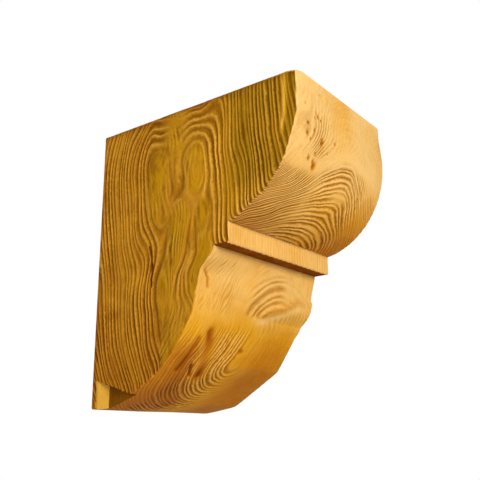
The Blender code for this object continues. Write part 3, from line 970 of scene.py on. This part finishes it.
def grain_tree():
    """Geometry nodes that sink the grooves of the grain into the casting."""
    tree = bpy.data.node_groups.new("Moulded grain", "GeometryNodeTree")
    face = tree.interface
    face.new_socket("Geometry", in_out="INPUT", socket_type="NodeSocketGeometry")
    for name, value in (
        ("Side Groove Depth", 0.0014),
        ("Front Groove Depth", 0.0015),
        ("Groove Sharpness", 1.3),
        ("Unevenness", 0.0007),
        ("Unevenness Scale", 70.0),
    ):
        made = face.new_socket(name, in_out="INPUT", socket_type="NodeSocketFloat")
        made.default_value = value
    for name in ("Side Finish", "Front Finish", "Back Finish"):
        face.new_socket(name, in_out="INPUT", socket_type="NodeSocketMaterial")
    face.new_socket("Geometry", in_out="OUTPUT", socket_type="NodeSocketGeometry")
    wires = Wires(tree)
    source = wires.add("NodeGroupInput").outputs
    named = {}
    for name, kind in (
        ("side_rings", "FLOAT"),
        ("front_rings", "FLOAT"),
        ("side_in", "FLOAT_VECTOR"),
        ("front_in", "FLOAT_VECTOR"),
        ("region", "INT"),
    ):
        node = wires.add("GeometryNodeInputNamedAttribute", {"Name": name}, data_type=kind)
        named[name] = node.outputs["Attribute"]
    noise = wires.add(
        "ShaderNodeTexNoise", {"Scale": source["Unevenness Scale"], "Detail": 3.0}
    ).outputs["Fac"]
    uneven = wires.times(noise, source["Unevenness"])
    moves = []
    for side in ("side", "front"):
        depth = source[side.capitalize() + " Groove Depth"]
        groove = ridge_shape(wires, named[side + "_rings"], source["Groove Sharpness"])
        total = wires.plus(wires.times(groove, depth), uneven)
        scaled = wires.add(
            "ShaderNodeVectorMath", {0: named[side + "_in"], "Scale": total}, operation="SCALE"
        )
        moves.append(scaled.outputs[0])
    offset = wires.add("ShaderNodeVectorMath", {0: moves[0], 1: moves[1]}, operation="ADD")
    moved = wires.add(
        "GeometryNodeSetPosition", {"Geometry": source["Geometry"], "Offset": offset.outputs[0]}
    )
    real = wires.add("GeometryNodeRealizeInstances", {"Geometry": moved.outputs[0]}).outputs[0]
    for number, name in enumerate(("Side Finish", "Front Finish", "Back Finish")):
        chosen = wires.add(
            "FunctionNodeCompare",
            {2: named["region"], 3: number},
            data_type="INT",
            operation="EQUAL",
        )
        real = wires.add(
            "GeometryNodeSetMaterial",
            {"Geometry": real, "Selection": chosen.outputs[0], "Material": source[name]},
        ).outputs[0]
    wires.add("NodeGroupOutput", {"Geometry": real})
    return tree


# Scale and detail of each noise in the stain
NOISES = {
    "wander": (240.0, 3.0),
    "width": (90.0, 2.0),
    "blotch": (42.0, 6.0),
    "fleck": (600.0, 2.0),
    "flake": (95.0, 5.0),
}
COLOUR_SOCKETS = (
    "Crest Colour",
    "Groove Colour",
    "Gold Colour",
    "Deep Colour",
    "Deep Gold Colour",
    "Pale Colour",
)


def stain_group():
    """Shader group that colours the grain: crests with thin painted highlights, dark grooves, gold
    and dark patches.
    """
    tree = bpy.data.node_groups.new("Timber stain", "ShaderNodeTree")
    face = tree.interface
    for name, value in (
        ("Rings", 0.0),
        ("Show", 1.0),
        ("Fibres", 0.0),
        ("Fibre Show", 0.0),
        ("Stain", 0.5),
        ("Gold", 0.0),
        ("Pale", 0.5),
        ("Flakes", 0.3),
        ("Contrast", 0.8),
        ("Blotches", 0.5),
        ("Streaks", 0.6),
        ("Sharpness", 1.5),
    ):
        made = face.new_socket(name, in_out="INPUT", socket_type="NodeSocketFloat")
        made.default_value = value
    for name in COLOUR_SOCKETS:
        face.new_socket(name, in_out="INPUT", socket_type="NodeSocketColor")
    face.new_socket("Color", in_out="OUTPUT", socket_type="NodeSocketColor")
    face.new_socket("Roughness", in_out="OUTPUT", socket_type="NodeSocketFloat")
    face.new_socket("Height", in_out="OUTPUT", socket_type="NodeSocketFloat")
    wires = Wires(tree)
    source = wires.add("NodeGroupInput").outputs
    place = wires.add("ShaderNodeTexCoord").outputs["Object"]
    upright = wires.add(
        "ShaderNodeVectorMath", {0: place, 1: (1.0, 1.0, 0.5)}, operation="MULTIPLY"
    )
    noises = {
        name: wires.noise(upright.outputs[0] if name == "flake" else place, *scale)
        for name, scale in NOISES.items()
    }
    blotch = noises["blotch"]
    rings = wires.plus(source["Rings"], wires.times(noises["wander"], 0.5))
    spread = wires.plus(1.0, wires.times(noises["width"], 1.6))
    groove = ridge_shape(wires, rings, wires.times(source["Sharpness"], spread))
    patchy = wires.plus(1.0, wires.times(blotch, 1.1), clamp=True)
    shown = wires.times(groove, source["Show"], patchy)
    fibres = wires.plus(source["Fibres"], wires.times(noises["wander"], 0.35))
    fibre = wires.times(ridge_shape(wires, fibres, 1.2), source["Fibre Show"])
    shown = wires.math("MAXIMUM", shown, fibre)
    # Long thin streaks that run along the rings
    along = wires.add("ShaderNodeCombineXYZ", {"X": wires.times(source["Rings"], 3.0)})
    drift = wires.add("ShaderNodeVectorMath", {0: place, "Scale": 48.0}, operation="SCALE")
    along = wires.add(
        "ShaderNodeVectorMath", {0: along.outputs[0], 1: drift.outputs[0]}, operation="ADD"
    )
    streak = wires.noise(along.outputs[0], 1.0, 2.5)
    # Thin painted highlights along the crests and the fibres, and pale spots where the stain is below
    # 0
    line = ridge_shape(wires, wires.less(rings, HIGHLIGHT_PHASE), 4.0)
    line = wires.times(line, source["Show"])
    fibre_highlight = ridge_shape(wires, wires.plus(fibres, 0.45), 3.0)
    fibre_highlight = wires.times(fibre_highlight, source["Fibre Show"])
    thin = wires.less(1.0, wires.times(source["Stain"], 0.6, clamp=True))
    light = wires.times(wires.math("MAXIMUM", line, fibre_highlight), source["Pale"], patchy, thin)
    light = wires.math("MAXIMUM", light, wires.less(0.0, source["Stain"], clamp=True))
    # Upright darker flakes with sharp edges where no rings show
    flakes = wires.times(wires.less(noises["flake"], 0.02), 9.0, clamp=True)
    flakes = wires.times(flakes, wires.less(1.0, source["Show"], clamp=True), source["Flakes"])
    dark = wires.plus(
        wires.times(shown, source["Contrast"]),
        wires.times(streak, source["Streaks"]),
        wires.times(noises["fleck"], 0.35),
        flakes,
        clamp=True,
    )
    dark = wires.math("MAXIMUM", dark, wires.less(source["Stain"], 1.0, clamp=True))
    gold_at = wires.plus(source["Gold"], wires.times(blotch, 0.6), clamp=True)
    crest = wires.mix(gold_at, source["Crest Colour"], source["Gold Colour"])
    colour = wires.mix(dark, crest, source["Groove Colour"])
    # Thick stain, and the painted shade that the stain value carries, multiply in the deep tint
    deep = wires.plus(source["Stain"], wires.times(blotch, source["Blotches"]), clamp=True)
    tint = wires.mix(gold_at, source["Deep Colour"], source["Deep Gold Colour"])
    colour = wires.mix(deep, colour, tint, "MULTIPLY")
    # The painted highlights and the pale spots where the stain is below 0 take the pale colour
    colour = wires.mix(light, colour, source["Pale Colour"])
    rough = wires.plus(0.62, wires.times(dark, 0.25))
    height = wires.plus(
        wires.times(shown, -0.6),
        wires.times(light, 0.3),
        wires.times(streak, -0.9),
        wires.times(flakes, -0.6),
        wires.times(noises["fleck"], 0.25),
    )
    wires.add("NodeGroupOutput", {"Color": colour, "Roughness": rough, "Height": height})
    return tree


# What a finish takes: contrast, blotches, streaks, sharpness, painted highlight lines and flakes
AMOUNT_SOCKETS = ("Contrast", "Blotches", "Streaks", "Sharpness", "Pale", "Flakes")


def finish(name, group, face, colours, amounts, bump):
    """One stained finish of the sides or the front, reading the grain that the mesh carries."""
    material = bpy.data.materials.new(name)
    material.use_nodes = True
    wires = Wires(material.node_tree)
    shader = wires.nodes["Principled BSDF"]
    shader.inputs["Metallic"].default_value = 0.0
    shader.inputs["Specular IOR Level"].default_value = 0.06
    inputs = dict(zip(AMOUNT_SOCKETS, amounts))
    for key, attribute in (
        ("Rings", face + "_rings"),
        ("Show", face + "_show"),
        ("Fibres", "fibre_rings"),
        ("Fibre Show", "fibre_show"),
        ("Stain", "stain"),
        ("Gold", "gold"),
    ):
        inputs[key] = wires.add("ShaderNodeAttribute", attribute_name=attribute).outputs["Fac"]
    for key, colour in zip(COLOUR_SOCKETS, colours):
        inputs[key] = (*colour[:3], 1.0)
    node = wires.add("ShaderNodeGroup", inputs, node_tree=group)
    relief = wires.add(
        "ShaderNodeBump", {"Height": node.outputs["Height"], "Distance": bump, "Strength": 1.0}
    )
    links = wires.tree.links
    links.new(node.outputs["Color"], shader.inputs["Base Color"])
    links.new(node.outputs["Roughness"], shader.inputs["Roughness"])
    links.new(relief.outputs["Normal"], shader.inputs["Normal"])
    return material


def apply_modifiers(piece):
    """Makes the evaluated shape the piece's own mesh, with no modifier left."""
    graph = bpy.context.evaluated_depsgraph_get()
    mesh = bpy.data.meshes.new_from_object(piece.evaluated_get(graph))
    piece.modifiers.clear()
    piece.data = mesh


def colour_property(name, description, default):
    """A colour that a user may change."""
    return bpy.props.FloatVectorProperty(
        name=name, description=description, default=default, size=3, subtype="COLOR", min=0, max=1
    )


class CorbelSettings(bpy.types.PropertyGroup):
    """Sizes of the relief and colours of the stain."""

    side_groove: bpy.props.FloatProperty(
        name="Side groove depth",
        description="Depth of the grooves of the grain on the two sides",
        default=0.0014,
        unit="LENGTH",
    )
    front_groove: bpy.props.FloatProperty(
        name="Front groove depth",
        description="Depth of the grooves of the grain on the front",
        default=0.0015,
        unit="LENGTH",
    )
    unevenness: bpy.props.FloatProperty(
        name="Unevenness",
        description="Depth of the slow unevenness between the grooves",
        default=0.0007,
        unit="LENGTH",
    )
    side_crest: colour_property(
        "Side crests", "Stain on the raised grain of the sides", (0.60, 0.262, 0.012)
    )
    side_hollow: colour_property(
        "Side grooves", "Stain in the grooves of the sides", (0.27, 0.10, 0.0005)
    )
    side_gold: colour_property(
        "Side gold", "Stain on the calm patches of the sides", (0.62, 0.285, 0.004)
    )
    # Colour of the painted highlights along the crests of the sides, and of the pale spots where the
    # stain is below 0
    side_highlight_and_pale: colour_property(
        "Side highlights", "Thin pale lines along the grain of the sides", (0.80, 0.44, 0.065)
    )
    front_crest: colour_property(
        "Front crests", "Stain on the raised grain of the front", (0.80, 0.49, 0.16)
    )
    front_hollow: colour_property(
        "Front grooves", "Stain in the grooves of the front", (0.34, 0.115, 0.001)
    )
    front_gold: colour_property(
        "Front gold", "Yellower stain on parts of the front", (0.75, 0.345, 0.008)
    )
    # Colour of the painted highlights along the crests of the front
    front_highlight: colour_property(
        "Front highlights", "Thin pale lines along the grain of the front", (0.84, 0.50, 0.14)
    )
    # The deep tint also colours the painted shade of the soffit, the notch, the ledge and the top
    # edges
    deep: colour_property("Deep stain", "Tint where the stain lies thick", (0.60, 0.39, 0.06))
    olive: colour_property(
        "Olive stain", "Tint of thick stain over the gold of the sides", (0.58, 0.60, 0.30)
    )
    foam: colour_property("Back", "Colour of the flat back", (0.60, 0.42, 0.20))


class StudioSettings(bpy.types.PropertyGroup):
    """The floor, the camera and the lamps."""

    floor_up: bpy.props.FloatProperty(
        name="Floor height",
        description="Height of the floor, well below the corbel",
        default=-0.62,
        unit="LENGTH",
    )
    key_power: bpy.props.FloatProperty(
        name="Key power", description="Power of the key lamp", default=19.0, unit="POWER"
    )
    fill_power: bpy.props.FloatProperty(
        name="Fill power", description="Power of the fill lamp", default=2.5, unit="POWER"
    )
    rim_power: bpy.props.FloatProperty(
        name="Rim power",
        description="Power of the lamp behind the right side, which the photographed sides don't see",
        default=7.0,
        unit="POWER",
    )
    sky: bpy.props.FloatProperty(
        name="Surround", description="How strongly the white surround lights the corbel", default=0.28
    )
    lens: bpy.props.FloatProperty(
        name="Lens", description="Focal length of the camera in millimetres", default=54.33
    )


class CORBEL_OT_body(bpy.types.Operator):
    """Build the corbel as one fine casting with its grain and its stain"""

    bl_idname = "corbel.body"
    bl_label = "Corbel body"

    def execute(self, context):
        look = context.scene.corbel
        group = stain_group()
        finishes = {
            "Side Finish": finish(
                "stained_sides",
                group,
                "side",
                (
                    look.side_crest,
                    look.side_hollow,
                    look.side_gold,
                    look.deep,
                    look.olive,
                    look.side_highlight_and_pale,
                ),
                (0.95, 1.0, 1.0, 0.9, 0.85, 0.42),
                0.0010,
            ),
            "Front Finish": finish(
                "stained_front",
                group,
                "front",
                (
                    look.front_crest,
                    look.front_hollow,
                    look.front_gold,
                    look.deep,
                    look.deep,
                    look.front_highlight,
                ),
                (1.0, 0.35, 0.6, 1.3, 0.8, 0.08),
                0.0007,
            ),
            "Back Finish": finish(
                "plain_back",
                group,
                "front",
                (look.foam, look.foam, look.foam, look.deep, look.deep, look.foam),
                (0.2, 0.3, 0.0, 1.0, 0.0, 0.05),
                0.0004,
            ),
        }
        body = bpy.data.objects.new("corbel", fine_body())
        context.scene.collection.objects.link(body)
        point_outwards(body.data)
        wedge = bpy.data.objects.new("notch_wedge", notch_wedge())
        context.scene.collection.objects.link(wedge)
        notch = body.modifiers.new("notch", "BOOLEAN")
        notch.operation = "DIFFERENCE"
        notch.object = wedge
        apply_modifiers(body)
        bpy.data.objects.remove(wedge)
        tree = grain_tree()
        grain = body.modifiers.new("grain", "NODES")
        grain.node_group = tree
        for name, value in (
            ("Side Groove Depth", look.side_groove),
            ("Front Groove Depth", look.front_groove),
            ("Unevenness", look.unevenness),
            *finishes.items(),
        ):
            grain[socket(tree, name)] = value
        apply_modifiers(body)
        body.data.shade_smooth()
        body.data.set_sharp_from_angle(angle=math.radians(50))
        if len(body.data.polygons) < 10000:
            raise RuntimeError("the corbel came out with too few faces")
        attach(body, "root")
        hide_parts("corbel_body")
        return {"FINISHED"}


# Place and size of each lamp, and the point that all are aimed at
LAMPS = (
    ("key", (-0.62, -1.45, 0.30), 0.5),
    ("fill", (-1.30, -0.30, 0.10), 0.6),
    ("rim", (1.30, 0.45, 0.30), 0.6),
)
LAMP_AIM = (0.0, -0.12, 0.0)
LAMP_COLOUR = (1.0, 0.98, 0.95)
FLOOR_REACH = 4.0
CAMERA_PLACE = (-0.5889, -0.5900, -0.1814)
CAMERA_DEGREES = (105.54, 0.0, -51.63)
WHITE = (1.0, 1.0, 1.0, 1.0)


def area_lamp(name, place, size, power):
    """A soft square lamp aimed at the corbel."""
    light = bpy.data.lights.new(name, "AREA")
    light.shape = "SQUARE"
    light.size = size
    light.energy = power
    light.color = LAMP_COLOUR
    lamp = bpy.data.objects.new(name, light)
    bpy.context.scene.collection.objects.link(lamp)
    lamp.location = place
    lamp.rotation_euler = (Vector(LAMP_AIM) - Vector(place)).to_track_quat("-Z", "Y").to_euler()


class CORBEL_OT_studio(bpy.types.Operator):
    """Set the pale floor, the soft lamps, the white surround and the camera"""

    bl_idname = "corbel.studio"
    bl_label = "Studio"

    def execute(self, context):
        studio = context.scene.corbel_studio
        scene = context.scene
        floor_mesh = bpy.data.meshes.new("floor")
        ring = [(-1, -1), (1, -1), (1, 1), (-1, 1)]
        points = [(x * FLOOR_REACH, y * FLOOR_REACH, studio.floor_up) for x, y in ring]
        floor_mesh.from_pydata(points, [], [(0, 1, 2, 3)])
        paint = bpy.data.materials.new("floor_paint")
        paint.use_nodes = True
        shader = paint.node_tree.nodes["Principled BSDF"]
        shader.inputs["Base Color"].default_value = (0.9, 0.9, 0.9, 1.0)
        shader.inputs["Roughness"].default_value = 0.9
        # The floor looks paler to the camera than the light that it throws back
        shader.inputs["Emission Strength"].default_value = FLOOR_GLOW
        seen = paint.node_tree.nodes.new("ShaderNodeLightPath").outputs["Is Camera Ray"]
        paint.node_tree.links.new(seen, shader.inputs["Emission Color"])
        floor_mesh.materials.append(paint)
        floor = bpy.data.objects.new("floor", floor_mesh)
        scene.collection.objects.link(floor)
        for name, place, size in LAMPS:
            area_lamp(name, place, size, getattr(studio, name + "_power"))
        world = bpy.data.worlds.new("surround")
        world.use_nodes = True
        wires = Wires(world.node_tree)
        light = wires.nodes["Background"]
        light.inputs["Color"].default_value = WHITE
        light.inputs["Strength"].default_value = studio.sky
        white = wires.add("ShaderNodeBackground", {"Color": WHITE, "Strength": 1.0})
        seen = wires.add("ShaderNodeLightPath").outputs["Is Camera Ray"]
        mixed = wires.add("ShaderNodeMixShader", {0: seen, 1: light.outputs[0], 2: white.outputs[0]})
        output = wires.nodes["World Output"]
        wires.tree.links.new(mixed.outputs[0], output.inputs["Surface"])
        scene.world = world
        scene.view_settings.view_transform = "Standard"
        data = bpy.data.cameras.new("camera")
        data.sensor_width = 36.0
        data.lens = studio.lens
        camera = bpy.data.objects.new("camera", data)
        scene.collection.objects.link(camera)
        camera.location = CAMERA_PLACE
        camera.rotation_euler = [math.radians(degrees) for degrees in CAMERA_DEGREES]
        scene.camera = camera
        return {"FINISHED"}


class CORBEL_PT_panel(bpy.types.Panel):
    """The corbel's sizes, colours and studio"""

    bl_label = "Corbel"
    bl_idname = "CORBEL_PT_panel"
    bl_space_type = "VIEW_3D"
    bl_region_type = "UI"
    bl_category = "Corbel"

    def draw(self, context):
        for settings, operator in (("corbel", "corbel.body"), ("corbel_studio", "corbel.studio")):
            box = self.layout.box()
            group = getattr(context.scene, settings)
            for key in group.__annotations__:
                box.prop(group, key)
            box.operator(operator)


CLASSES = (CorbelSettings, StudioSettings, CORBEL_OT_body, CORBEL_OT_studio, CORBEL_PT_panel)


def register():
    """Adds the settings, the operators and the panel."""
    for item in CLASSES:
        bpy.utils.register_class(item)
    bpy.types.Scene.corbel = bpy.props.PointerProperty(type=CorbelSettings)
    bpy.types.Scene.corbel_studio = bpy.props.PointerProperty(type=StudioSettings)


def unregister():
    """Takes them away again."""
    del bpy.types.Scene.corbel_studio
    del bpy.types.Scene.corbel
    for item in reversed(CLASSES):
        bpy.utils.unregister_class(item)


def main():
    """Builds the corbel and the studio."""
    register()
    bpy.ops.corbel.body()
    bpy.ops.corbel.studio()


if __name__ == "__main__":
    main()
